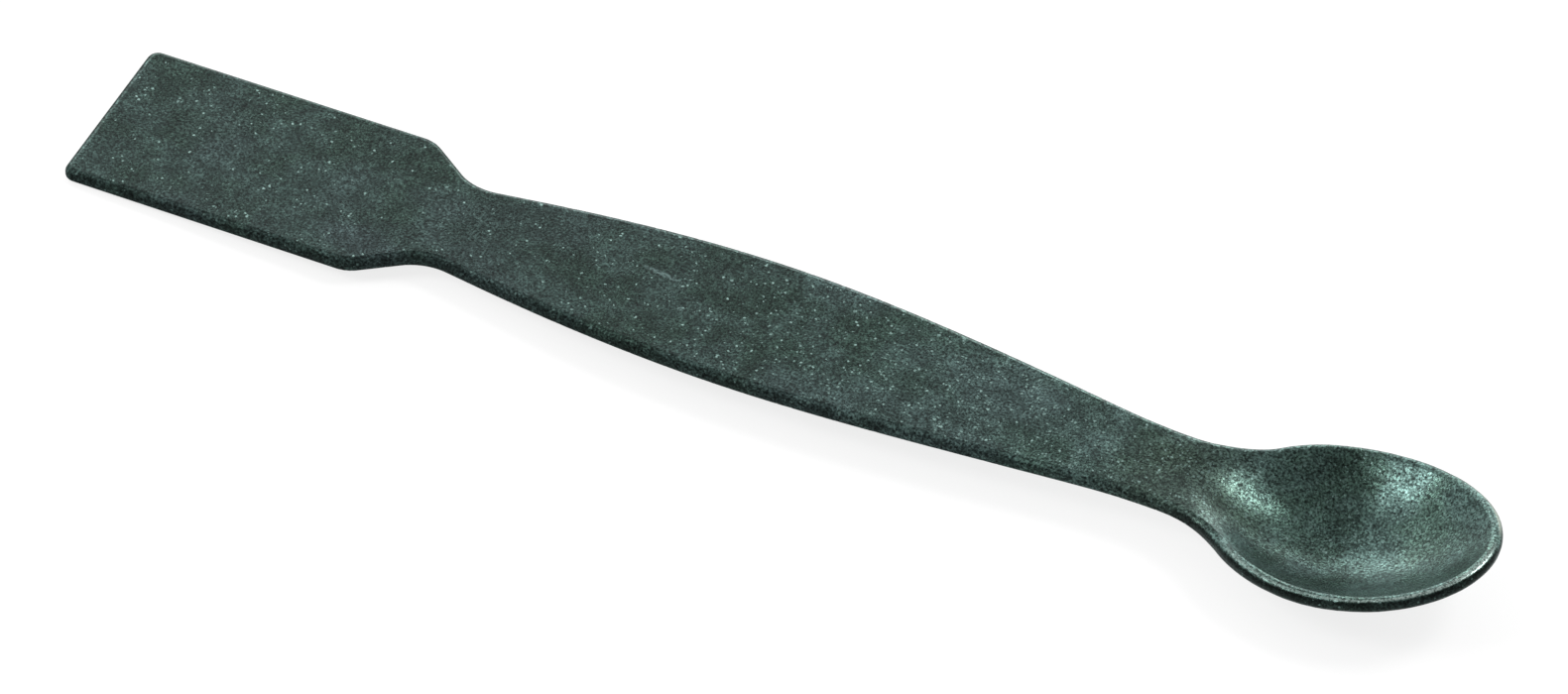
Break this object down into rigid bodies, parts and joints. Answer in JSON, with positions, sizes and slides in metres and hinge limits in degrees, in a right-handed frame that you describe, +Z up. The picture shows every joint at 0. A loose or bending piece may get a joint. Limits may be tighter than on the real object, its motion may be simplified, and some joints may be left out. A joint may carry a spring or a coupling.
{
  "type": "lab spatula",
  "caption": "Chemist's spoon spatula in dark fleck-coated steel, with a flat rectangular blade, a leaf-shaped flat handle and an oval spoon bowl.",
  "frame": {"origin": "middle of the footprint of the tool at rest, on the surface it lies on", "axes": "+X along the tool from the blade to the spoon, +Y across it, +Z up out of the hollow of the spoon"},
  "size_m": [0.15, 0.0224, 0.0094],
  "materials": {
    "fleck_coating": "satin fluoropolymer coating with fine pale flecks"
  },
  "bodies": {
    "root": {"spoon_spatula": "fleck_coating"}
  },
  "joints": []
}
